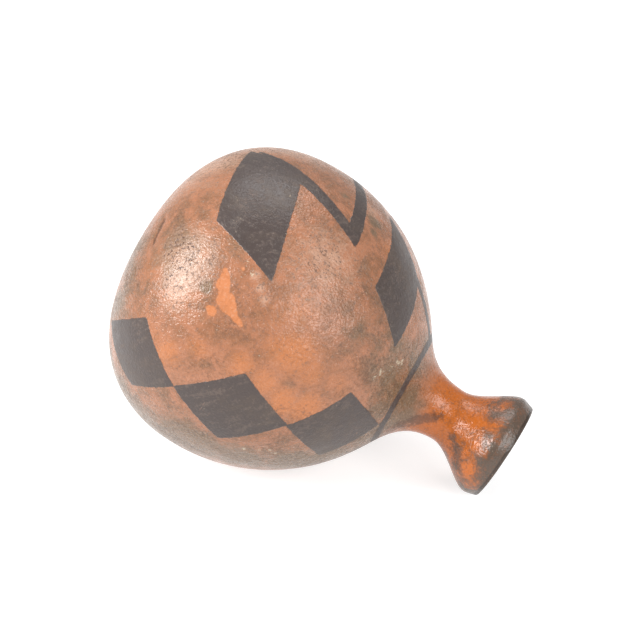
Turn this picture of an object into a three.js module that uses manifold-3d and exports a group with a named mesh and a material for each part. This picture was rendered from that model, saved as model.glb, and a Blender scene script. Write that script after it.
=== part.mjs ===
// A ceremonial gourd vessel of burnished earthenware, lying on its side as it comes to rest:
// on its belly and on the edge of its flared mouth. It is one hollow pot, open at the mouth.
// Millimetres, +Z up, mouth towards +X, origin on the floor below the centre of the pot's box.

import * as THREE from 'three';
import Module from 'manifold-3d';
import { mergeVertices } from 'three/addons/utils/BufferGeometryUtils.js';

// Radii of the outside, from the foot to the lip.
const FOOT_RADIUS = 16;       // worn flat that the pot stands on when it is set upright
const BELLY_RADIUS = 112.2;
const SHOULDER_RADIUS = 51;
const WAIST_RADIUS = 20;      // narrowest ring of the neck
const FLARE_RADIUS = 38.4;    // widest ring of the mouth
const LIP_TURN_IN = 1.9;      // how far the lip closes again above that ring

// Rises along the pot's own axis, each from the ring below.
const BELLY_RISE = 89.4;
const SHOULDER_RISE = 113;
const WAIST_RISE = 43;
const FLARE_RISE = 37;
const LIP_RISE = 7;
const SHOULDER_SLOPE_DEG = 34;

// Walls.
const BODY_WALL = 7;
const LIP_WALL = 4;

// The neck was set on a little askew: it leans this much, starting below the waist.
const NECK_LEAN_DEG = 3.9;
const NECK_LEAN_TOWARDS_DEG = 147;   // round the axis, from the side that lies uppermost
const LEAN_BELOW_WAIST = 20;
const LEAN_BLEND = 24;

// The belly is worn flat where the pot lies on it.
const REST_WEAR = 0.8;

// How full each curve of the outline is, as shares of the span that it crosses.
const FULLNESS = {
  foot: 0.65, bellyBelow: 0.59, bellyAbove: 0.56, shoulderBelow: 0.45,
  shoulderAbove: 0.52, waistBelow: 0.63, waistAbove: 0.32, flareBelow: 0.25,
};

// Facets.
const AROUND = 60;
const STEPS = { lowerBelly: 10, upperBelly: 11, shoulder: 6, neck: 6, mouth: 2 };
const LIP_STEPS = 4;
const CURVE_SAMPLES = 200;
const MERGE_TOLERANCE = 1e-4;

const bellyHeight = BELLY_RISE;
const shoulderHeight = bellyHeight + SHOULDER_RISE;
const waistHeight = shoulderHeight + WAIST_RISE;
const flareHeight = waistHeight + FLARE_RISE;
const lipHeight = flareHeight + LIP_RISE;
const lipRadius = FLARE_RADIUS - LIP_TURN_IN;
const leanStart = waistHeight - LEAN_BELOW_WAIST;

// The outside as five curves in (radius, height), each tangent to the next.
function outlineCurves() {
  const at = (radius, height) => new THREE.Vector2(radius, height);
  const slope = THREE.MathUtils.degToRad(SHOULDER_SLOPE_DEG);
  const rising = at(-Math.cos(slope), Math.sin(slope));
  const shoulder = at(SHOULDER_RADIUS, shoulderHeight);
  const along = (share, span) => rising.clone().multiplyScalar(share * span);
  const bellyToShoulder = BELLY_RADIUS - SHOULDER_RADIUS;
  const shoulderToWaist = SHOULDER_RADIUS - WAIST_RADIUS;
  return {
    lowerBelly: new THREE.CubicBezierCurve(
      at(FOOT_RADIUS, 0),
      at(FOOT_RADIUS + FULLNESS.foot * (BELLY_RADIUS - FOOT_RADIUS), 0),
      at(BELLY_RADIUS, bellyHeight - FULLNESS.bellyBelow * BELLY_RISE),
      at(BELLY_RADIUS, bellyHeight)),
    upperBelly: new THREE.CubicBezierCurve(
      at(BELLY_RADIUS, bellyHeight),
      at(BELLY_RADIUS, bellyHeight + FULLNESS.bellyAbove * SHOULDER_RISE),
      shoulder.clone().sub(along(FULLNESS.shoulderBelow, bellyToShoulder)),
      shoulder),
    shoulder: new THREE.CubicBezierCurve(
      shoulder,
      shoulder.clone().add(along(FULLNESS.shoulderAbove, shoulderToWaist)),
      at(WAIST_RADIUS, waistHeight - FULLNESS.waistBelow * WAIST_RISE),
      at(WAIST_RADIUS, waistHeight)),
    neck: new THREE.CubicBezierCurve(
      at(WAIST_RADIUS, waistHeight),
      at(WAIST_RADIUS, waistHeight + FULLNESS.waistAbove * FLARE_RISE),
      at(FLARE_RADIUS, flareHeight - FULLNESS.flareBelow * FLARE_RISE),
      at(FLARE_RADIUS, flareHeight)),
    mouth: new THREE.QuadraticBezierCurve(
      at(FLARE_RADIUS, flareHeight),
      at(FLARE_RADIUS, flareHeight + LIP_RISE / 2),
      at(lipRadius, lipHeight)),
  };
}

// The wall is BODY_WALL thick up to the shoulder and thins evenly to LIP_WALL at the lip.
function wallAt(height) {
  const share = THREE.MathUtils.clamp((height - shoulderHeight) / (lipHeight - shoulderHeight), 0, 1);
  return THREE.MathUtils.lerp(BODY_WALL, LIP_WALL, share);
}

// Points of one curve, evenly spaced, each with the point one wall inside it.
function wallPoints(curve, steps) {
  curve.arcLengthDivisions = CURVE_SAMPLES;
  return Array.from({ length: steps + 1 }, (unused, i) => {
    const outer = curve.getPointAt(i / steps);
    const tangent = curve.getTangentAt(i / steps);
    const inward = new THREE.Vector2(-tangent.y, tangent.x);
    return { outer, inner: outer.clone().addScaledVector(inward, wallAt(outer.y)) };
  });
}

// The closed section: up the outside, over the rounded lip and down the inside to the axis.
function wallSection() {
  const curves = outlineCurves();
  const rings = Object.keys(STEPS).flatMap((name, k) =>
    wallPoints(curves[name], STEPS[name]).slice(k === 0 ? 0 : 1));
  const lip = rings.at(-1);
  const lipCentre = lip.outer.clone().lerp(lip.inner, 0.5);
  const outward = lip.outer.clone().sub(lipCentre);
  const round = Array.from({ length: LIP_STEPS - 1 }, (unused, i) =>
    outward.clone().rotateAround(new THREE.Vector2(), Math.PI * (i + 1) / LIP_STEPS).add(lipCentre));
  return [
    new THREE.Vector2(0, 0),
    ...rings.map((ring) => ring.outer),
    ...round,
    ...rings.map((ring) => ring.inner).reverse(),
    new THREE.Vector2(0, rings[0].inner.y),
  ];
}

// Bends the neck: above leanStart each ring moves sideways and tips, easing in over LEAN_BLEND.
function leanNeck(point) {
  const above = point.z - leanStart;
  if (above <= 0) return;
  const lean = Math.tan(THREE.MathUtils.degToRad(NECK_LEAN_DEG));
  const towards = THREE.MathUtils.degToRad(NECK_LEAN_TOWARDS_DEG);
  const [x, y] = [Math.cos(towards), Math.sin(towards)];
  const eased = Math.min(above / LEAN_BLEND, 1);
  const shift = lean * (above < LEAN_BLEND ? eased * above / 2 : above - LEAN_BLEND / 2);
  const tip = lean * eased * (point.x * x + point.y * y);
  point.x += shift * x;
  point.y += shift * y;
  point.z -= tip;
}

// Every corner of the wall, standing upright: +X is the side that will lie uppermost.
function standingWall() {
  const wall = new THREE.LatheGeometry(wallSection(), AROUND);
  wall.deleteAttribute('normal');
  wall.deleteAttribute('uv');
  wall.rotateX(Math.PI / 2);
  const corner = new THREE.Vector3();
  const corners = wall.attributes.position;
  for (let i = 0; i < corners.count; i++) {
    corner.fromBufferAttribute(corners, i);
    leanNeck(corner);
    corners.setXYZ(i, corner.x, corner.y, corner.z);
  }
  return wall;
}

// The tilt of the axis at which the worn belly and the lip touch the floor together.
function restingTilt(wall) {
  const corners = wall.attributes.position;
  const lowest = (tilt, low, high) => {
    let least = Infinity;
    for (let i = 0; i < corners.count; i++) {
      const height = corners.getZ(i);
      if (height < low || height > high) continue;
      least = Math.min(least, corners.getX(i) * Math.cos(tilt) - height * Math.sin(tilt));
    }
    return least;
  };
  let [flat, steep] = [0, Math.PI / 4];
  while (steep - flat > 1e-9) {
    const tilt = (flat + steep) / 2;
    const belly = lowest(tilt, 0, waistHeight) + REST_WEAR;
    if (belly < lowest(tilt, waistHeight, Infinity)) flat = tilt;
    else steep = tilt;
  }
  return flat;
}

function solidOf(geometry, wasm) {
  const merged = mergeVertices(geometry, MERGE_TOLERANCE);
  const index = merged.index.array;
  const kept = [];
  for (let i = 0; i < index.length; i += 3) {
    const [a, b, c] = index.slice(i, i + 3);
    if (a !== b && b !== c && c !== a) kept.push(a, b, c);
  }
  return new wasm.Manifold(new wasm.Mesh({
    numProp: 3,
    vertProperties: new Float32Array(merged.attributes.position.array),
    triVerts: new Uint32Array(kept),
  }));
}

// A slab under the floor, below the belly only, which takes off what the pot has worn away.
function wearSlab() {
  const side = 2 * shoulderHeight;
  const slab = new THREE.BoxGeometry(side, side, side);
  slab.deleteAttribute('normal');
  slab.deleteAttribute('uv');
  return slab.translate(0, 0, -side / 2);
}

function geometryOf(solid) {
  const mesh = solid.getMesh();
  const geometry = new THREE.BufferGeometry();
  geometry.setAttribute('position', new THREE.BufferAttribute(mesh.vertProperties, 3));
  geometry.setIndex(new THREE.BufferAttribute(mesh.triVerts, 1));
  return geometry;
}

async function gourdVessel() {
  const wasm = await Module();
  wasm.setup();
  const wall = standingWall();
  const tilt = restingTilt(wall);
  wall.rotateZ(Math.PI);
  wall.rotateY(Math.PI / 2 + tilt);
  wall.computeBoundingBox();
  wall.translate(0, 0, -wall.boundingBox.min.z - REST_WEAR);
  const worn = solidOf(wall, wasm).subtract(solidOf(wearSlab(), wasm));
  const geometry = geometryOf(worn);
  geometry.computeBoundingBox();
  const centre = geometry.boundingBox.getCenter(new THREE.Vector3());
  geometry.translate(-centre.x, -centre.y, -geometry.boundingBox.min.z);
  geometry.computeVertexNormals();
  const clay = new THREE.MeshStandardMaterial({ color: 0xb5744e, roughness: 0.45, metalness: 0 });
  const vessel = new THREE.Mesh(geometry, clay);
  vessel.name = 'gourd_vessel';
  return vessel;
}

const model = new THREE.Group();
model.add(await gourdVessel());

export default model;
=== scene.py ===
"""The finish of a ceremonial gourd vessel: a burnished clay bottle, lying on its belly and its lip.

The clay wall is one mesh, worked out from the same sizes as the solid: an outline of five curves, turned
round the axis, leaned at the neck and laid down. Its painted lozenges, fire clouds, chips, painted shade
along the lower side and pale haze with painted highlights and reflections are kept on the mesh as
distances and strengths, and the material turns them into colour, gloss and relief.
Places on the pot are given as (up, round): millimetres along the wall from the middle of the foot, and
degrees round the axis from the side that lies uppermost, turning towards the viewer.
"""

import math

import bpy
import numpy as np
from mathutils import Matrix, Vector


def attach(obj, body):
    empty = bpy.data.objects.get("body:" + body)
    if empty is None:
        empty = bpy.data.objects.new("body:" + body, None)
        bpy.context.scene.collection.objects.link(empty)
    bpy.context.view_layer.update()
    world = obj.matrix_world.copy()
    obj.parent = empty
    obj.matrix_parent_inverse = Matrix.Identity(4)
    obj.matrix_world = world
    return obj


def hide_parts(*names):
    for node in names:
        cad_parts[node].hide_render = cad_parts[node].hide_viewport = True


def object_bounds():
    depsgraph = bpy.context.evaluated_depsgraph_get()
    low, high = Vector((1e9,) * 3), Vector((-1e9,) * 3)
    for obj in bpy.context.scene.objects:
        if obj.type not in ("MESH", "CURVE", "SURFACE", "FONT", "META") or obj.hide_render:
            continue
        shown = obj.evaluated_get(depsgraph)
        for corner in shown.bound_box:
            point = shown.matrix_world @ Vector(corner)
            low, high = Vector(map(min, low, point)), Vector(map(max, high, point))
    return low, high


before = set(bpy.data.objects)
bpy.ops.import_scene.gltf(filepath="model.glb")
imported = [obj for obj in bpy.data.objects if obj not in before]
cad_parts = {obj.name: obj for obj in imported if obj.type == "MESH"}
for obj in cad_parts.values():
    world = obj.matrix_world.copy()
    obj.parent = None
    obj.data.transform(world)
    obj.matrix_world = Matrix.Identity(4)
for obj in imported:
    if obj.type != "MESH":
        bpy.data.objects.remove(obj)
CAD_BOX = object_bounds()
MM = 0.001

# The outside, in millimetres: radii from the foot to the lip, and rises along the axis.
FOOT_RADIUS, BELLY_RADIUS, SHOULDER_RADIUS = 16, 112.2, 51
WAIST_RADIUS, FLARE_RADIUS, LIP_TURN_IN = 20, 38.4, 1.9
BELLY_RISE, SHOULDER_RISE, WAIST_RISE, FLARE_RISE, LIP_RISE = 89.4, 113, 43, 37, 7
SHOULDER_SLOPE_DEG = 34
BODY_WALL, LIP_WALL = 7, 4
NECK_LEAN_DEG, NECK_LEAN_TOWARDS_DEG = 3.9, 147
LEAN_BELOW_WAIST, LEAN_BLEND = 20, 24
REST_WEAR = 0.8
# How far each curve's handles reach, as shares of its run.
FOOT_FULL, BELLY_BELOW_FULL, BELLY_ABOVE_FULL, SHOULDER_BELOW_FULL = 0.65, 0.59, 0.56, 0.45
SHOULDER_ABOVE_FULL, WAIST_BELOW_FULL, WAIST_ABOVE_FULL, FLARE_BELOW_FULL = 0.52, 0.63, 0.32, 0.25
SHOULDER_HEIGHT = BELLY_RISE + SHOULDER_RISE
WAIST_HEIGHT = SHOULDER_HEIGHT + WAIST_RISE
FLARE_HEIGHT = WAIST_HEIGHT + FLARE_RISE
LIP_HEIGHT = FLARE_HEIGHT + LIP_RISE

# The mesh: points round each ring, and rings along each curve, outside and inside.
AROUND = 360
OUTER_RINGS = (80, 72, 28, 22, 6)
INNER_RINGS = (12, 14, 8, 8, 2)
FOOT_RINGS = 4
LIP_RINGS = 12
# The power on cosine and sine over the lip: 1 is a half circle, less is squarer.
LIP_SQUARENESS = 0.4
# The lip's curve bends mostly within this share of its rise, and then runs nearly straight.
LIP_BENT = 0.3
# Points that a curve is measured on, and the halvings that find the resting tilt.
CURVE_POINTS = 401
HALVINGS = 40
# The clay's unevenness, in millimetres: broad and narrow hollows, and pits where their noise runs high.
BROAD_SIZE, BROAD_DEPTH = 46, 0.30
NARROW_SIZE, NARROW_DEPTH = 17, 0.10
PIT_SIZE, PIT_START, PIT_DEPTH = 5.0, 0.62, 0.5
FLAKE_DEPTH, FLAKE_RAMP = 0.35, 1.2
GROOVE_DEPTH = 0.45
# The unevenness fades towards the lip over the first length, and the inside darkens over the second.
CALM_BEFORE_LIP, BORE_FADE = 30, 6
# Distances given where a patch is on the inside, or on the other side of the pot, in millimetres.
OFF_OUTSIDE, OFF_SIDE = -20.0, -50.0

# The photograph's view.
VIEW_AZIMUTH_DEG, VIEW_ELEVATION_DEG, VIEW_DISTANCE = 19.285, 30, 1.034
VIEW_AIM_RIGHT, VIEW_AIM_UP = -0.00268, 0.09672
FRAME_PIXELS, SENSOR_WIDTH, FOCAL_PIXELS = 640, 36, 1403.95

# Painted lozenges, corner after corner, and painted lines with their widths in millimetres.
CHAIN = (
    ((76.7, 104.5), (115.1, 78.5), (153.5, 93.8), (123.8, 109.7)),
    ((153.5, 93.8), (191.5, 76), (231.7, 90.8), (193.5, 107.8)),
    ((232.2, 91.4), (263.7, 68.2), (304.4, 93.5), (265.8, 115)),
)
HIGH_LOZENGE = ((112.6, -10), (126.3, 34.8), (178.1, 44.8), (158.5, 5))
SHOULDER_LOZENGE = ((218.3, -21.2), (238.9, 22.5), (278.1, 36), (263.7, -11))
ZIGZAG = (
    ((118, -9.8), (140, 2), (213.1, 16.3), (200.8, 9.3)),
    ((200.8, 9.3), (213.1, 16.3), (186.2, -30), (179.1, -30)),
    ((179.1, -30), (186.2, -30), (153.5, -70.4), (148.5, -69.2)),
)
HANGER = ((264, -9), (309, -10), 6.0)
RING_UP, RING_WIDTH = 309.5, 5.2
# The far side has the same lozenges, turned round the axis by this much.
FAR_TURN_DEG = -163.6

# What fire, soot, handling and wear left, with painted shade among the grey clouds and painted highlights
# and reflections among the pale haze, as (up, round, reach in mm, strength).
# The grey clouds round 115 to 136 degrees, along the lower side near the floor, are painted shade as well
# as fire cloud.
GREY_CLOUDS_AND_SHADE = (
    (288, 50, 22, 0.9), (300, 75, 16, 0.8), (303, 110, 18, 0.8), (298, 30, 14, 0.7), (214, -3, 6, 1.0),
    (217, 3, 4, 0.7), (187, -2.5, 4, 0.8), (164.7, 78, 10, 0.5), (222, 74, 6, 0.45), (143.6, 57, 4.5, 1.7),
    (302, 60, 14, 0.9), (307, 30, 12, 0.8), (318, 66, 13, 1.1), (326, 84, 11, 1.1), (316, 94, 12, 1.0),
    (332, 64, 7, 0.7), (142, 57, 9, 0.6), (145, 132, 28, 1.2), (180, 119, 24, 1.2), (214, 119, 22, 1.2),
    (245, 122, 22, 1.1), (275, 126, 20, 1.0), (292, 136, 16, 0.8), (116, 132, 26, 1.1), (90, 128, 20, 0.8),
    (60, 70, 30, 0.35), (78, 90, 18, 0.7), (148, 41, 13, 0.55), (182, -21, 12, 0.35), (118, 0, 14, 0.4),
    (242, 43, 18, 0.45), (267, 43, 12, 0.5), (281, 33, 14, 0.8), (306, 7, 12, 0.5), (152, 66, 6, 0.5),
    (120, 52, 24, 0.75), (72, 87, 4, 1.2), (200, -60, 40, 0.6), (120, -120, 46, 0.5), (240, 180, 40, 0.7),
    (150, 180, 50, 0.7),
)
ORANGE_PATCHES = (
    (214, 62, 22, 0.8), (203, 50, 22, 0.6), (186, 74, 12, 0.8), (206, 76, 12, 0.9), (222, 80, 12, 1.0),
    (238, 80, 14, 0.9), (250, 64, 16, 0.6), (228, 66, 16, 0.7), (140, 84, 14, 0.7), (158, 76, 12, 0.6),
    (120, 84, 16, 0.5), (392, 100, 14, 1.2), (240, 0, 16, 0.6), (170, 40, 16, 0.3), (225, -70, 30, 0.6),
    (140, -70, 30, 0.5), (180, -140, 36, 0.6), (100, 60, 14, 0.4), (128, 66, 16, 0.4),
)
# The pale haze is partly painted highlight, where the softboxes shine, and painted reflection of the white
# studio along the upper edge.
HAZE_AND_HIGHLIGHT_PATCHES = (
    (122, 52, 25, 1.0), (200, 28, 28, 0.9), (80, 10, 34, 0.8), (93, 0, 24, 1.3), (105, -22, 34, 1.4),
    (143, -20, 24, 1.2), (168, -26, 18, 0.9), (66, 20, 26, 0.7), (128, 61, 16, 1.2),
    (168, 46, 4, 1.0), (174, 48.6, 4, 1.1), (180, 51, 4, 1.1),
    (190, -20, 30, 0.5), (250, 90, 18, 0.2), (180, 120, 40, 0.4), (160, -13, 12, 0.7), (206, -8, 11, 0.8),
)
NECK_STREAKS = (
    (328, 104, 8, 0.8), (334, 96, 7, 0.9), (338, 89, 6, 1.0), (342, 81, 5, 1.0), (346, 73, 5, 0.9),
    (350, 64, 4, 0.7), (320, 112, 9, 0.7), (324, 84, 9, 0.4), (364, 84, 5, 0.7), (372, 96, 7, 0.8),
    (362, 62, 3, 0.6), (380, 108, 10, 0.8), (340, -60, 12, 0.6), (350, 180, 14, 0.8), (366, 130, 10, 0.6),
)
# Pale rubbed marks, as (up, round, reach in mm, strength).
SCUFFS = (
    (292, 38.5, 2.6, 1.0), (288, 41, 2.6, 0.9), (284, 46, 2.6, 0.6), (278, 52, 3.4, 0.9),
    (276, 56, 2.6, 0.6),
    (228.6, 108.5, 2.8, 0.9), (222, 108.6, 2.4, 0.7), (212, 110, 2.8, 0.7), (233, 110, 2.2, 0.8),
    (196, 100, 2.4, 0.5), (160, 43, 3.4, 0.6), (165, 46, 3.0, 0.6), (171, 50, 2.6, 0.5), (150, -30, 3, 0.6),
    (260, -100, 3.4, 0.8), (190, 170, 3.4, 0.7), (130, -150, 3, 0.7),
)
# Flakes of slip that came off, as discs that run into each other: (up, round, radius in mm).
FLAKES = (
    (149.5, 49.2, 2.2), (151.6, 51.2, 3.6), (152.6, 53.4, 5.0), (154.6, 54.4, 3.8), (157.2, 58, 4.6),
    (160.6, 56.6, 4.0), (161.6, 59, 4.6), (164, 58.4, 3.6), (166.7, 59.9, 3.4), (169.8, 60.9, 2.7),
    (172.6, 61.5, 2.1), (175, 62.1, 1.7), (154.7, 62.8, 3.6), (151.8, 62.6, 2.4), (158.5, 45.8, 1.8),
)
# A short groove through three places, with its width in millimetres.
GROOVE = ((82, 39.5), (84, 45.5), (86, 52.5), 1.7)


def bezier(points, steps):
    """Points of a cubic curve, spaced evenly along it: summed corner weights, read off by length."""
    t = np.linspace(0, 1, CURVE_POINTS)[:, None]
    a, b, c, d = (np.array(p, float) for p in points)
    line = (1 - t) ** 3 * a + 3 * (1 - t) ** 2 * t * b + 3 * (1 - t) * t * t * c + t ** 3 * d
    length = np.r_[0, np.cumsum(np.hypot(*np.diff(line, axis=0).T))]
    stops = np.linspace(0, length[-1], steps + 1)
    return np.stack([np.interp(stops, length, line[:, k]) for k in (0, 1)], -1)


def outline(rings):
    """The outside from the foot's edge to the lip: five curves in (radius, height) that join smoothly."""
    slope = math.radians(SHOULDER_SLOPE_DEG)
    rising = np.array([-math.cos(slope), math.sin(slope)])
    shoulder = np.array([SHOULDER_RADIUS, SHOULDER_HEIGHT])
    below = shoulder - rising * SHOULDER_BELOW_FULL * (BELLY_RADIUS - SHOULDER_RADIUS)
    above = shoulder + rising * SHOULDER_ABOVE_FULL * (SHOULDER_RADIUS - WAIST_RADIUS)
    lip_start = (FLARE_RADIUS, FLARE_HEIGHT)
    lip_bend = np.array([FLARE_RADIUS, FLARE_HEIGHT + LIP_RISE * LIP_BENT / 2])
    lip_end = np.array([FLARE_RADIUS - LIP_TURN_IN, LIP_HEIGHT])
    curves = (
        ((FOOT_RADIUS, 0), (FOOT_RADIUS + FOOT_FULL * (BELLY_RADIUS - FOOT_RADIUS), 0),
         (BELLY_RADIUS, (1 - BELLY_BELOW_FULL) * BELLY_RISE), (BELLY_RADIUS, BELLY_RISE)),
        ((BELLY_RADIUS, BELLY_RISE), (BELLY_RADIUS, BELLY_RISE + BELLY_ABOVE_FULL * SHOULDER_RISE),
         below, shoulder),
        (shoulder, above, (WAIST_RADIUS, WAIST_HEIGHT - WAIST_BELOW_FULL * WAIST_RISE),
         (WAIST_RADIUS, WAIST_HEIGHT)),
        ((WAIST_RADIUS, WAIST_HEIGHT), (WAIST_RADIUS, WAIST_HEIGHT + WAIST_ABOVE_FULL * FLARE_RISE),
         (FLARE_RADIUS, FLARE_HEIGHT - FLARE_BELOW_FULL * FLARE_RISE), lip_start),
        (lip_start, (lip_start + 2 * lip_bend) / 3, (2 * lip_bend + lip_end) / 3, lip_end),
    )
    pieces = [bezier(curve, steps) for curve, steps in zip(curves, rings)]
    return np.concatenate([pieces[0]] + [piece[1:] for piece in pieces[1:]])


def inside_of(line):
    """The wall's inner face: each point of the outside, moved inwards by the wall's thickness there."""
    run = np.gradient(line, axis=0)
    inward = np.stack([-run[:, 1], run[:, 0]], -1) / np.linalg.norm(run, axis=1, keepdims=True)
    share = np.clip((line[:, 1] - SHOULDER_HEIGHT) / (LIP_HEIGHT - SHOULDER_HEIGHT), 0, 1)
    return line + inward * (BODY_WALL + (LIP_WALL - BODY_WALL) * share)[:, None]


def section():
    """The whole section, from the middle of the foot over the lip to the middle of the inside floor."""
    outer = outline(OUTER_RINGS)
    inner = inside_of(outline(INNER_RINGS))
    foot = np.stack([np.linspace(0, FOOT_RADIUS, FOOT_RINGS + 1)[:-1], np.zeros(FOOT_RINGS)], -1)
    middle, half = (outer[-1] + inner[-1]) / 2, (outer[-1] - inner[-1]) / 2
    turn = np.pi * np.arange(1, LIP_RINGS) / LIP_RINGS
    across, out = [np.sign(way) * np.abs(way) ** LIP_SQUARENESS for way in (np.cos(turn), np.sin(turn))]
    lip = middle + np.stack([half[0] * across - half[1] * out, half[0] * out + half[1] * across], -1)
    floor = np.array([[0, inner[0, 1]]])
    return np.concatenate([foot, outer, lip, inner[::-1], floor]), len(foot) + len(outer)


def lean_neck(points):
    """Above the bend each ring moves sideways by the slope and tips square to it, easing in."""
    above = np.maximum(points[..., 2] - (WAIST_HEIGHT - LEAN_BELOW_WAIST), 0)
    slope, towards = math.tan(math.radians(NECK_LEAN_DEG)), math.radians(NECK_LEAN_TOWARDS_DEG)
    side = np.array([math.cos(towards), math.sin(towards)])
    eased = np.minimum(above / LEAN_BLEND, 1)
    shift = slope * np.where(above < LEAN_BLEND, eased * above / 2, above - LEAN_BLEND / 2)
    tip = slope * eased * (points[..., :2] @ side)
    return np.concatenate([points[..., :2] + shift[..., None] * side, points[..., 2:] - tip[..., None]], -1)


def resting_tilt(points):
    """The tilt at which the worn belly and the lip are equally low, found by halving."""
    x, height = points[..., 0], points[..., 2]
    neck = height > WAIST_HEIGHT
    flat, steep = 0.0, math.pi / 4
    for _ in range(HALVINGS):
        tilt = (flat + steep) / 2
        low = x * math.cos(tilt) - height * math.sin(tilt)
        if low[~neck].min() + REST_WEAR < low[neck].min():
            flat = tilt
        else:
            steep = tilt
    return flat


class Pose:
    """How the standing pot is laid down: tilted about the cross axis, dropped to the floor and centred."""

    def __init__(self, points):
        self.tilt = resting_tilt(points)
        self.shift = np.zeros(3)
        laid = self.lay(points)
        self.shift = np.array([-(laid[..., 0].min() + laid[..., 0].max()) / 2,
                               -(laid[..., 1].min() + laid[..., 1].max()) / 2,
                               -laid[..., 2].min() - REST_WEAR])

    def lay(self, points):
        """The axis goes forwards and down by the tilt, and the side at round = 0 goes uppermost."""
        x, y, z = points[..., 0], points[..., 1], points[..., 2]
        cos, sin = math.cos(self.tilt), math.sin(self.tilt)
        return np.stack([z * cos + x * sin, -y, x * cos - z * sin], -1) + self.shift


def lattice_noise(points, size, seed):
    """Smooth noise from -1 to 1: random values on a grid of that size, blended by smoothed distance."""
    table = np.random.RandomState(seed).uniform(-1, 1, 4096)
    scaled = points / size
    cell = np.floor(scaled).astype(int)
    part = scaled - cell
    part = part * part * (3 - 2 * part)
    total = 0
    for corner in np.ndindex(2, 2, 2):
        near = cell + np.array(corner)
        value = table[(near[..., 0] * 73 + near[..., 1] * 619 + near[..., 2] * 1549) % len(table)]
        share = np.prod(np.where(corner, part, 1 - part), axis=-1)
        total = total + value * share
    return total


class Places:
    """Turns (up, round) on the outside of the standing pot into points, before the neck leans."""

    def __init__(self, line):
        self.line = line
        self.up = np.r_[0, np.cumsum(np.hypot(*np.diff(line, axis=0).T))]

    def point(self, up, around):
        radius, height = (np.interp(up, self.up, self.line[:, k]) for k in (0, 1))
        angle = np.radians(around)
        return np.array([radius * np.cos(angle), radius * np.sin(angle), height])


BELLY_CENTRE = np.array([0, 0, BELLY_RISE])


def great_cut(points, start, end):
    """Distance from the plane through two places and the belly's centre, positive on its left side."""
    across = np.cross(start - BELLY_CENTRE, end - BELLY_CENTRE)
    return (points - BELLY_CENTRE) @ (across / np.linalg.norm(across))


def lozenge(points, corners):
    """Inside distance of a four-cornered patch: the least distance from its four edge planes."""
    edges = [great_cut(points, corners[k], corners[(k + 1) % 4]) for k in range(4)]
    middle = np.mean(corners, axis=0)
    signs = [np.sign(great_cut(middle[None], corners[k], corners[(k + 1) % 4])[0]) for k in range(4)]
    return np.min([edge * sign for edge, sign in zip(edges, signs)], axis=0)


def stroke(points, start, end, width):
    """Inside distance of a brushed line: half its width less the way from its plane, cut at its ends."""
    side = np.abs(great_cut(points, start, end))
    run = (end - start) / np.linalg.norm(end - start)
    along = (points - (start + end) / 2) @ run
    length = np.linalg.norm(end - start)
    return np.minimum(width / 2 - side, (length + width) / 2 - np.abs(along))


def facing(points, distance, place):
    """Keeps a patch to its own side of the pot, because its edge planes also meet on the other side."""
    same_side = ((points - BELLY_CENTRE) @ (place - BELLY_CENTRE)) > 0
    return np.where(same_side, distance, OFF_SIDE)


def pattern_distance(points, places, up):
    """Distance inside the painted pattern in millimetres, negative on bare clay."""
    far_side = CHAIN + (HIGH_LOZENGE, SHOULDER_LOZENGE)
    shapes = [[places.point(*corner) for corner in shape] for shape in far_side + ZIGZAG]
    shapes += [[places.point(along, around + FAR_TURN_DEG) for along, around in shape]
               for shape in far_side]
    near = RING_WIDTH / 2 - np.abs(up - RING_UP)
    for corners in shapes:
        near = np.maximum(near, facing(points, lozenge(points, corners), np.mean(corners, axis=0)))
    start, end, width = HANGER
    for turn in (0, FAR_TURN_DEG):
        ends = places.point(start[0], start[1] + turn), places.point(end[0], end[1] + turn)
        near = np.maximum(near, facing(points, stroke(points, *ends, width), ends[0]))
    return near


def patches(points, places, spots):
    """Strength from 0 to 1: the strongest of the round, soft-edged spots."""
    total = np.zeros(points.shape[:-1])
    for up, around, reach, strength in spots:
        away = np.linalg.norm(points - places.point(up, around), axis=-1)
        total = np.maximum(total, strength * np.exp(-(away / reach) ** 2))
    return total


def flake_distance(points, places):
    """Distance inside the flaked area in millimetres: the most of radius less way from a disc's middle."""
    discs = [radius - np.linalg.norm(points - places.point(up, around), axis=-1)
             for up, around, radius in FLAKES]
    return np.max(discs, axis=0)


def groove_share(points, places):
    """Depth share of the short groove: a soft ridge round the line through its three places."""
    *stops, width = GROOVE
    spots = [places.point(*stop) for stop in stops]
    depth = 0
    for start, end in zip(spots, spots[1:]):
        run = end - start
        share = np.clip(((points - start) @ run) / (run @ run), 0, 1)
        away = np.linalg.norm(points - start - share[..., None] * run, axis=-1)
        depth = np.maximum(depth, np.exp(-(away / width) ** 2))
    return depth


def outward(rings):
    """The direction square to the surface: the step round crossed with the step along, scaled to 1."""
    around_step = np.roll(rings, -1, 1) - np.roll(rings, 1, 1)
    along_step = np.gradient(rings, axis=0)
    normal = np.cross(around_step, along_step)
    normal /= np.linalg.norm(normal, axis=-1, keepdims=True) + 1e-12
    normal[0], normal[-1] = (0, 0, -1), (0, 0, 1)
    return normal


def relief_of(upright, flake, groove, below_lip):
    """Height in millimetres: hollows less pits, calmer at the lip, less the flakes and the groove."""
    broad = lattice_noise(upright, BROAD_SIZE, 3) * BROAD_DEPTH
    soft = broad + lattice_noise(upright, NARROW_SIZE, 4) * NARROW_DEPTH
    pitted = np.maximum(lattice_noise(upright, PIT_SIZE, 5) - PIT_START, 0) * PIT_DEPTH
    wide_of_lip = np.clip(below_lip / CALM_BEFORE_LIP, 0, 1)
    chipped = FLAKE_DEPTH * np.clip(flake / FLAKE_RAMP + 0.5, 0, 1)
    return (soft - pitted) * wide_of_lip - chipped - GROOVE_DEPTH * groove


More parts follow.
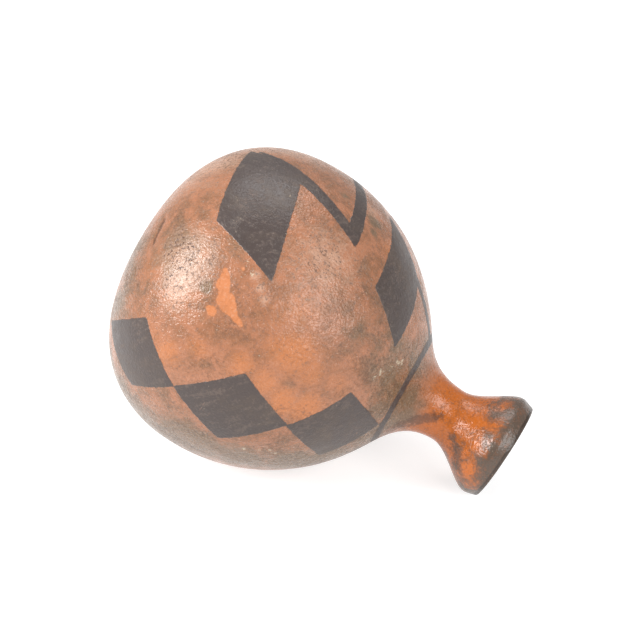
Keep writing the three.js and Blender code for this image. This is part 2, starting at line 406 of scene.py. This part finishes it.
def build_vessel():
    """The pot's wall as one closed mesh, with its pattern and wear as point attributes."""
    line, outside = section()
    angles = 2 * np.pi * np.arange(AROUND) / AROUND
    upright = np.stack([line[:, :1] * np.cos(angles), line[:, :1] * np.sin(angles),
                        line[:, 1:] + 0 * angles], -1)
    standing = lean_neck(upright)
    pose = Pose(standing)
    places = Places(line[:outside])
    steps = np.hypot(*np.diff(line, axis=0).T)
    up = np.r_[0, np.cumsum(steps)][:, None] + 0 * angles
    lip_up = places.up[-1]
    out_side = (np.arange(len(line)) < outside)[:, None] & np.ones(AROUND, bool)
    flake = np.where(out_side, flake_distance(upright, places), OFF_OUTSIDE)
    groove = np.where(out_side, groove_share(upright, places), 0.0)
    relief = np.where(out_side, relief_of(upright, flake, groove, lip_up - up), 0.0)
    laid = pose.lay(standing + outward(standing) * relief[..., None])
    laid[..., 2] = np.maximum(laid[..., 2], 0)
    pattern = {
        "paint": np.where(out_side, pattern_distance(upright, places, up), OFF_OUTSIDE),
        "flake": flake,
        "grey_and_shade": patches(upright, places, GREY_CLOUDS_AND_SHADE),
        "orange": patches(upright, places, ORANGE_PATCHES),
        "haze_and_sheen": patches(upright, places, HAZE_AND_HIGHLIGHT_PATCHES),
        "streak": np.maximum(patches(upright, places, NECK_STREAKS), groove),
        "scuff": patches(upright, places, SCUFFS),
        "up": up / lip_up,
        "bore": np.where(out_side, 0.0, np.clip((up - lip_up) / BORE_FADE, 0, 1)),
    }
    return closed_mesh("vessel_wall", laid * MM, pattern), pose


def closed_mesh(name, rings, pattern):
    """Joins rings of points by quads; the first and last ring have no width and become single points."""
    count, around = rings.shape[:2]
    body = rings[1:-1].reshape(-1, 3)
    points = np.concatenate([rings[:1, 0], body, rings[-1:, 0]])
    last = len(points) - 1
    ring, step = np.meshgrid(np.arange(count - 3), np.arange(around), indexing="ij")
    here, after = 1 + ring * around + step, 1 + ring * around + (step + 1) % around
    quads = np.stack([here, after, after + around, here + around], -1).reshape(-1, 4)
    first = 1 + np.arange(around)
    start = np.stack([np.zeros(around, int), np.roll(first, -1), first], -1)
    final = 1 + (count - 3) * around + np.arange(around)
    end = np.stack([np.full(around, last), final, np.roll(final, -1)], -1)
    mesh = bpy.data.meshes.new(name)
    mesh.from_pydata(points.tolist(), [], start.tolist() + quads.tolist() + end.tolist())
    mesh.polygons.foreach_set("use_smooth", np.ones(len(mesh.polygons), bool))
    for label, values in pattern.items():
        flat = np.concatenate([values[:1, 0], values[1:-1].ravel(), values[-1:, 0]])
        mesh.attributes.new(label, "FLOAT", "POINT").data.foreach_set("value", flat.astype(np.float32))
    mesh.update()
    piece = bpy.data.objects.new(name, mesh)
    bpy.context.scene.collection.objects.link(piece)
    return piece


class Wire:
    """One socket of a material's nodes, so that sums on wires add Math nodes."""

    def __init__(self, finish, socket):
        self.finish, self.socket = finish, socket

    def _math(self, operation, first, second):
        return self.finish.add("ShaderNodeMath", {"operation": operation}, {0: first, 1: second})

    def __add__(self, other):
        return self._math("ADD", self, other)

    def __radd__(self, other):
        return self._math("ADD", other, self)

    def __sub__(self, other):
        return self._math("SUBTRACT", self, other)

    def __rsub__(self, other):
        return self._math("SUBTRACT", other, self)

    def __mul__(self, other):
        return self._math("MULTIPLY", self, other)

    def __rmul__(self, other):
        return self._math("MULTIPLY", other, self)


class Finish:
    """A material that is built node by node."""

    def __init__(self, name):
        self.material = bpy.data.materials.new(name)
        self.material.use_nodes = True
        self.tree = self.material.node_tree
        self.tree.nodes.clear()

    def add(self, kind, settings, sockets, output=0):
        """Adds a node: its settings first, then a value or a wire for each socket."""
        node = self.tree.nodes.new(kind)
        for label, value in settings.items():
            setattr(node, label, value)
        for socket, value in sockets.items():
            if isinstance(value, Wire):
                self.tree.links.new(value.socket, node.inputs[socket])
            else:
                node.inputs[socket].default_value = value
        return Wire(self, node.outputs[output])

    def finish(self, shader):
        output = self.tree.nodes.new("ShaderNodeOutputMaterial")
        self.tree.links.new(shader.socket, output.inputs["Surface"])

    def attribute(self, label):
        return self.add("ShaderNodeAttribute", {"attribute_name": label}, {}, "Fac")

    def noise(self, place, scale, detail=3.0, roughness=0.55, distortion=0.0):
        return self.add("ShaderNodeTexNoise", {}, {
            "Vector": place, "Scale": scale, "Detail": detail, "Roughness": roughness,
            "Distortion": distortion}, "Fac")

    def ease(self, value, low, high):
        """0 below low, 1 above high and a smooth step between them; low may be the larger."""
        return self.add("ShaderNodeMapRange", {"interpolation_type": "SMOOTHSTEP"}, {
            "Value": value, "From Min": low, "From Max": high}, "Result")

    def blend(self, share, under, over):
        """Mixes two colours."""
        return self.add("ShaderNodeMix", {"data_type": "RGBA"}, {
            0: share, 6: under, 7: over}, 2)

    def most(self, first, second):
        return self.add("ShaderNodeMath", {"operation": "MAXIMUM"}, {0: first, 1: second})


# The studio's light on a surface that faces it, where white is 1, and the white that the gloss adds.
STUDIO_LIGHT, GLOSS_VEIL = 1.38, 0.030
# No slip is darker than this share of white.
DARKEST = 0.003


def linear(colour):
    """An 8-bit display colour as the linear one that a shader takes."""
    share = np.array(colour) / 255
    scaled = np.where(share <= 0.04045, share / 12.92, ((share + 0.055) / 1.055) ** 2.4)
    return (*scaled.tolist(), 1.0)


def seen(*colour):
    """The slip's own colour from the 8-bit one that shows in the studio: less the gloss, over the light."""
    own = (np.array(linear(colour)[:3]) - GLOSS_VEIL) / STUDIO_LIGHT
    return (*np.maximum(own, DARKEST).tolist(), 1.0)


# Colours as they show in the studio's light, on a scale to 255.
# The clay grey also paints shade along the lower side.
CLAY_ORANGE, CLAY_BROWN, CLAY_GREY = seen(178, 125, 98), seen(150, 108, 84), seen(124, 106, 88)
# The pale haze colour also paints highlights and reflections.
DEEP_ORANGE, NECK_ORANGE, PALE_HAZE_AND_SHEEN = seen(205, 132, 87), seen(205, 113, 32), seen(214, 172, 148)
# The second colour here is painted shade on the lip's thin edge.
SMUDGE_BROWN, LIP_EDGE_SHADE, SOOT = seen(100, 76, 64), seen(66, 60, 56), seen(98, 88, 80)
PAINT_DARK, PAINT_WORN = seen(87, 80, 78), seen(110, 102, 97)
FLAKE_ORANGE, FLAKE_EDGE, DUST = seen(206, 134, 92), seen(140, 98, 76), seen(226, 210, 184)
BORE_DARK, BORE_BROWN = seen(78, 66, 58), seen(110, 84, 66)


# Brush marks run long along the axis, scratches run long across it; relief in metres.
BRUSH_STRETCH, SCRATCH_STRETCH = (0.16, 1, 1), (0.07, 1, 1)
SCRATCH_TURN = (0.5, 0.9, 0.6)
RELIEF_DEPTH = 0.0012
SMOOTHEST = 0.15
SLIP_IOR, COAT, COAT_ROUGHNESS = 1.42, 0.06, 0.22
# Where along the wall, as a share of its length, the neck's orange begins and is full.
NECK_STARTS, NECK_FULL = 0.79, 0.86
# Soot is read on the wall's length in thirtieths.
SOOT_STEPS, SOOT_STARTS, SOOT_FULL = 30, 27.4, 29.4
# Where the soot closes round the lip, and where the painted shade on the lip's thin edge lies, as shares of
# the wall's length.
LIP_SOOT, LIP_SHADE_LINE = (0.991, 0.998), (0.9965, 0.9985)
# How far the brush ran over the pattern's drawn edge, in millimetres.
PAINT_SPREAD = 0.35


class BurnishedClay:
    """The slip over the whole pot, layer on layer: fired colours with painted shade and highlights, soot, a
    painted shade line on the lip's edge, paint, flakes and dust.
    """

    def __init__(self, tilt):
        """Noise at falling sizes, in cells a metre, and brush marks that run along the axis."""
        clay = self.clay = Finish("burnished_clay")
        place = self.place = clay.add("ShaderNodeTexCoord", {}, {}, "Object")
        self.axis = clay.add("ShaderNodeMapping", {}, {"Vector": place, "Rotation": (0, tilt, 0)})
        brushed = clay.add("ShaderNodeMapping", {}, {"Vector": self.axis, "Scale": BRUSH_STRETCH})
        slanted = clay.add("ShaderNodeMapping", {}, {"Vector": place, "Rotation": SCRATCH_TURN})
        combed = clay.add("ShaderNodeMapping", {}, {"Vector": slanted, "Scale": SCRATCH_STRETCH})
        self.cloud = clay.noise(place, 15, 4, 0.62, 0.5)
        self.blot = clay.noise(place, 38, 5, 0.68, 0.9)
        self.mottle = clay.noise(place, 95, 5, 0.70, 0.4)
        self.speckle = clay.noise(place, 520, 3, 0.65)
        self.ripple = clay.noise(place, 80, 2)
        self.pits = clay.noise(place, 640, 1)
        self.strokes = clay.noise(brushed, 240, 4, 0.65, 0.3)
        self.scratches = clay.noise(combed, 620, 3, 0.6, 0.2)
        self.up = clay.attribute("up")
        self.bore = clay.attribute("bore")
        self.streak = clay.attribute("streak")
        self.read_patches()

    def read_patches(self):
        """Soft patches of the mesh, broken up by the noise: grey clouds that carry painted shade on the
        lower side, orange patches, and pale haze that carries painted highlights and reflections.
        """
        clay, blot, mottle, speckle = self.clay, self.blot - 0.5, self.mottle - 0.5, self.speckle - 0.5
        cloud, strokes = self.cloud - 0.5, self.strokes - 0.5
        smoke_and_shade = clay.attribute("grey_and_shade") * 1.1 - clay.attribute("orange") * 0.5
        smoke_and_shade = smoke_and_shade + cloud * 1.5 + blot * 1.3 + mottle * 0.6
        self.grey_and_shade = clay.ease(smoke_and_shade, 0.02, 0.90)
        warm = clay.attribute("orange") + blot * 1.2 + cloud * 0.6 - self.grey_and_shade * 0.15
        self.orange = clay.ease(warm, 0.15, 0.95)
        pale = clay.attribute("haze_and_sheen") + speckle * 2.0 + strokes * 1.2 + mottle * 0.8
        self.haze_and_sheen = clay.ease(pale, 0.20, 1.20)
        self.flecks = clay.ease(self.speckle + blot * 0.5, 0.52, 0.68)
        self.lines = clay.ease(self.scratches, 0.665, 0.71) * clay.ease(self.blot, 0.46, 0.60)
        self.scuff = clay.ease(clay.attribute("scuff") + speckle * 2.2 + mottle * 1.6, 0.50, 0.85)

    def fired(self):
        """Orange and brown clay with grey clouds and painted shade, pale haze and painted highlights, and
        the neck's brighter orange.
        """
        clay, blot, mottle = self.clay, self.blot - 0.5, self.mottle - 0.5
        colour = clay.blend(clay.ease(self.mottle + blot * 0.6, 0.36, 0.66), CLAY_ORANGE, CLAY_BROWN)
        colour = clay.blend(self.orange * 0.80, colour, DEEP_ORANGE)
        # Grey clouds, with painted shade along the lower side.
        colour = clay.blend(self.grey_and_shade * 0.90, colour, CLAY_GREY)
        # Pale haze, with painted highlights and painted reflections.
        colour = clay.blend(self.haze_and_sheen * 0.72, colour, PALE_HAZE_AND_SHEEN)
        neck = clay.ease(self.up + blot * 0.10 + mottle * 0.04, NECK_STARTS, NECK_FULL)
        neck = self.neck = neck * (1 - self.grey_and_shade * 0.75)
        colour = clay.blend(neck * 0.85, colour, NECK_ORANGE)
        streak = clay.ease(self.streak + mottle * 1.3 + (self.speckle - 0.5) * 0.6, 0.30, 0.80)
        colour = clay.blend(streak * 0.70, colour, SMUDGE_BROWN)
        blotch = clay.ease(clay.noise(self.axis, 85, 5, 0.7, 0.8), 0.55, 0.70) * neck
        return clay.blend(blotch * 0.55, colour, SMUDGE_BROWN)

    def weathered(self, colour):
        """Dark flecks, pale grains, brush marks and scratches over the clay, soot round the lip, and
        painted shade on the lip's thin edge.
        """
        clay, blot, mottle = self.clay, self.blot - 0.5, self.mottle - 0.5
        dark = self.flecks * (0.34 + self.haze_and_sheen * 0.45 + self.grey_and_shade * 0.32)
        colour = clay.blend(dark, colour, SMUDGE_BROWN)
        light = clay.ease(self.speckle, 0.45, 0.32) * (0.16 + self.grey_and_shade * 0.10)
        colour = clay.blend(light, colour, PALE_HAZE_AND_SHEEN)
        colour = clay.blend(clay.ease(self.strokes, 0.56, 0.72) * 0.22, colour, SMUDGE_BROWN)
        colour = clay.blend(self.lines * 0.45, colour, PALE_HAZE_AND_SHEEN)
        ragged = mottle * 4.2 + blot * 3.2 + (self.speckle - 0.5) * 1.6
        reach = self.up * SOOT_STEPS + ragged + self.streak - clay.attribute("orange")
        self.soot = clay.most(clay.ease(reach, SOOT_STARTS, SOOT_FULL), clay.ease(self.up, *LIP_SOOT))
        colour = clay.blend(self.soot * (0.98 - self.flecks * 0.2), colour, SOOT)
        # Painted shade: a dark line on the lip's thin edge.
        lip_shade = clay.ease(self.up, *LIP_SHADE_LINE) * (1 - self.bore)
        return clay.blend(lip_shade * 0.7, colour, LIP_EDGE_SHADE)

    def painted(self, colour):
        """Dark paint inside the pattern's wandering edge, worn along the brush marks, and rubbed marks."""
        clay, blot, mottle = self.clay, self.blot - 0.5, self.mottle - 0.5
        wander = (clay.noise(self.place, 420, 2) - 0.5) * 1.5 + mottle * 1.3 + blot * 1.2
        self.paint = clay.ease(clay.attribute("paint") + PAINT_SPREAD + wander, -0.30, 0.30)
        worn = clay.ease(self.strokes * 0.5 + self.speckle * 0.5 + blot * 0.4, 0.48, 0.68)
        tone = clay.blend(worn * 0.75, PAINT_DARK, PAINT_WORN)
        tone = clay.blend(clay.ease(self.cloud + mottle * 0.5, 0.5, 0.75) * 0.20, tone, CLAY_GREY)
        tone = clay.blend(self.lines * 0.30, tone, PALE_HAZE_AND_SHEEN)
        colour = clay.blend(self.paint * (0.98 - worn * 0.08), colour, tone)
        return clay.blend(self.scuff * 0.60, colour, DUST)

    def flaked(self, colour):
        """Bare clay where the slip came off, with a darker edge, and small grains of dust."""
        clay = self.clay
        edge = clay.attribute("flake") + (clay.noise(self.place, 420, 3) - 0.5) * 2.2
        self.flake = clay.ease(edge, -0.15, 0.25)
        rim = self.flake * clay.ease(edge, 0.7, 0.2)
        bare = clay.blend(rim * 0.45, FLAKE_ORANGE, FLAKE_EDGE)
        bare = clay.blend(clay.ease(self.mottle, 0.45, 0.65) * 0.18, bare, CLAY_BROWN)
        bare = clay.blend(clay.ease(self.speckle, 0.45, 0.35) * 0.25, bare, PALE_HAZE_AND_SHEEN)
        colour = clay.blend(self.flake * 0.92, colour, bare)
        spots = clay.add("ShaderNodeTexVoronoi", {}, {"Vector": self.place, "Scale": 130.0}, "Distance")
        grains = clay.ease(spots + (self.speckle - 0.5) * 0.10, 0.045, 0.025)
        self.dust = grains * clay.ease(self.blot, 0.52, 0.56)
        return clay.blend(self.dust * 0.60, colour, DUST)

    def inside(self, colour):
        """The unpainted inside, darker and plainer."""
        inner = self.clay.blend(self.clay.ease(self.mottle, 0.35, 0.7), BORE_DARK, BORE_BROWN)
        return self.clay.blend(self.bore, colour, inner)

    def material(self):
        """Joins the layers, a gloss that the burnishing left uneven and a fine relief."""
        clay = self.clay
        colour = self.inside(self.flaked(self.painted(self.weathered(self.fired()))))
        dull = clay.most(self.flake, self.bore)
        gloss = 0.25 + (self.mottle - 0.5) * 0.30 + (self.strokes - 0.5) * 0.30 + (self.blot - 0.5) * 0.20
        gloss = gloss + self.paint * 0.12 + self.soot * 0.10 + dull * 0.5 + self.flecks * 0.10
        gloss = gloss - self.neck * 0.09
        limits = {"operation": "MAXIMUM", "use_clamp": True}
        roughness = clay.add("ShaderNodeMath", limits, {0: gloss, 1: SMOOTHEST})
        height = self.ripple * 0.9 + self.pits * 0.44 + self.strokes * 0.06
        height = height * (1 - self.paint * 0.5 - self.neck * 0.5)
        height = height - self.flecks * 0.08 + self.paint * 0.5 + self.dust * 0.15
        relief = {"Strength": 1.0, "Distance": RELIEF_DEPTH, "Height": height}
        bump = clay.add("ShaderNodeBump", {}, relief, "Normal")
        coat = (1 - dull) * (COAT - self.paint * 0.04)
        clay.finish(clay.add("ShaderNodeBsdfPrincipled", {}, {
            "Base Color": colour, "Roughness": roughness, "Normal": bump, "IOR": SLIP_IOR,
            "Coat Weight": coat, "Coat Roughness": COAT_ROUGHNESS}, "BSDF"))
        return clay.material


FLOOR_SIZE = 6.0
FLOOR_WHITE = (192, 192, 192)
FLOOR_GLOW = 1.25
WORLD_STRENGTH = 0.50
# Softboxes: direction from the pot as (right, up, towards the camera), distance, width, height and power.
SOFTBOXES = (
    ("left_softbox", (-0.757, 0.334, 0.549), 1.2, 0.46, 0.72, 18.5),
    ("right_softbox", (0.56, 0.04, 0.83), 1.2, 0.75, 0.70, 11),
    ("top_softbox", (0.10, 0.95, 0.10), 1.3, 0.90, 0.60, 8),
)


def view_axes():
    """The camera's right, up and back directions."""
    around, raised = math.radians(VIEW_AZIMUTH_DEG), math.radians(VIEW_ELEVATION_DEG)
    level = math.cos(raised)
    back = np.array([math.sin(around) * level, -math.cos(around) * level, math.sin(raised)])
    right = np.array([math.cos(around), math.sin(around), 0])
    return right, np.cross(back, right), back


def faced(obj, right, up, back, place):
    """Puts a camera or lamp at a place, with its own axes along the three given ones."""
    turned = Matrix(np.stack([right, up, back], 1).tolist()).to_4x4()
    obj.matrix_world = Matrix.Translation(place.tolist()) @ turned
    bpy.context.scene.collection.objects.link(obj)


def add_camera():
    right, up, back = view_axes()
    lens = bpy.data.cameras.new("camera")
    lens.sensor_width = SENSOR_WIDTH
    lens.lens = FOCAL_PIXELS / FRAME_PIXELS * SENSOR_WIDTH
    camera = bpy.data.objects.new("camera", lens)
    faced(camera, right, up, back, back * VIEW_DISTANCE + right * VIEW_AIM_RIGHT + up * VIEW_AIM_UP)
    bpy.context.scene.camera = camera


def add_softboxes(middle):
    right, up, back = view_axes()
    for name, direction, distance, width, height, power in SOFTBOXES:
        out = right * direction[0] + up * direction[1] + back * direction[2]
        out /= np.linalg.norm(out)
        side = np.cross([0, 0, 1.0], out)
        side /= np.linalg.norm(side)
        lamp = bpy.data.lights.new(name, "AREA")
        lamp.shape, lamp.size, lamp.size_y, lamp.energy = "RECTANGLE", width, height, power
        faced(bpy.data.objects.new(name, lamp), side, np.cross(out, side), out, middle + out * distance)


def add_surroundings():
    """A white sky and a large pale floor."""
    world = bpy.data.worlds.new("white_studio")
    world.use_nodes = True
    sky = world.node_tree.nodes["Background"]
    sky.inputs["Color"].default_value = (1, 1, 1, 1)
    sky.inputs["Strength"].default_value = WORLD_STRENGTH
    bpy.context.scene.world = world
    half = FLOOR_SIZE / 2
    mesh = bpy.data.meshes.new("floor")
    corners = [(-half, -half, 0), (half, -half, 0), (half, half, 0), (-half, half, 0)]
    mesh.from_pydata(corners, [], [(0, 1, 2, 3)])
    floor = bpy.data.objects.new("floor", mesh)
    bpy.context.scene.collection.objects.link(floor)
    paper = Finish("pale_paper")
    paper.finish(paper.add("ShaderNodeBsdfPrincipled", {}, {
        "Base Color": linear(FLOOR_WHITE), "Roughness": 0.9,
        "Emission Color": linear(FLOOR_WHITE), "Emission Strength": FLOOR_GLOW}, "BSDF"))
    mesh.materials.append(paper.material)


add_camera()
add_surroundings()
vessel, pose = build_vessel()
vessel.data.materials.append(BurnishedClay(pose.tilt).material())
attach(vessel, "root")
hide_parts("gourd_vessel")
add_softboxes((np.array(CAD_BOX[0]) + np.array(CAD_BOX[1])) / 2)
bpy.context.scene.view_settings.view_transform = "Standard"
